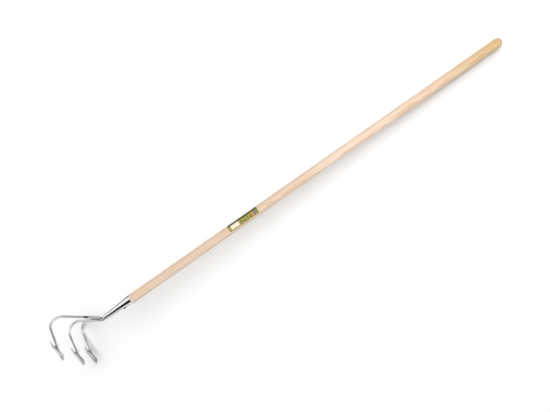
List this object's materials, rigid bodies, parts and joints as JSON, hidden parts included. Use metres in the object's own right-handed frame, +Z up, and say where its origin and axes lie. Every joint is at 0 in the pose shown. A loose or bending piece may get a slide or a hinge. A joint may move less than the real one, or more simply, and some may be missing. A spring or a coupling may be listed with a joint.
{
  "type": "long handled cultivator claw",
  "caption": "Long handled garden cultivator: bent steel tines with arrow shares, welded to a conical steel socket on a long ash shaft, lying on its side.",
  "frame": {"origin": "on the floor, at the middle of the laid-down tool's bounding box", "axes": "+X along the handle towards its free end, +Z up; the tool lies on its right side, with the share points towards -Y"},
  "size_m": [1.5718, 0.1674, 0.1744],
  "materials": {
    "ash_wood": "fine sanded, light oil",
    "label_paper": "printed, semi-matte",
    "socket_steel": "polished stainless steel",
    "screw_steel": "darkened steel",
    "rod_steel": "polished stainless steel",
    "share_steel": "satin",
    "weld_steel": "wire brushed weld"
  },
  "bodies": {
    "root": {"handle_shaft": "ash_wood", "handle_label": "label_paper", "socket": "socket_steel", "socket_screw": "screw_steel", "left_tine": "rod_steel", "centre_tine": "rod_steel", "right_tine": "rod_steel", "left_share": "share_steel", "centre_share": "share_steel", "right_share": "share_steel", "nose_weld": "weld_steel", "left_neck_weld": "weld_steel", "right_neck_weld": "weld_steel", "left_share_weld": "weld_steel", "centre_share_weld": "weld_steel", "right_share_weld": "weld_steel"}
  },
  "joints": []
}
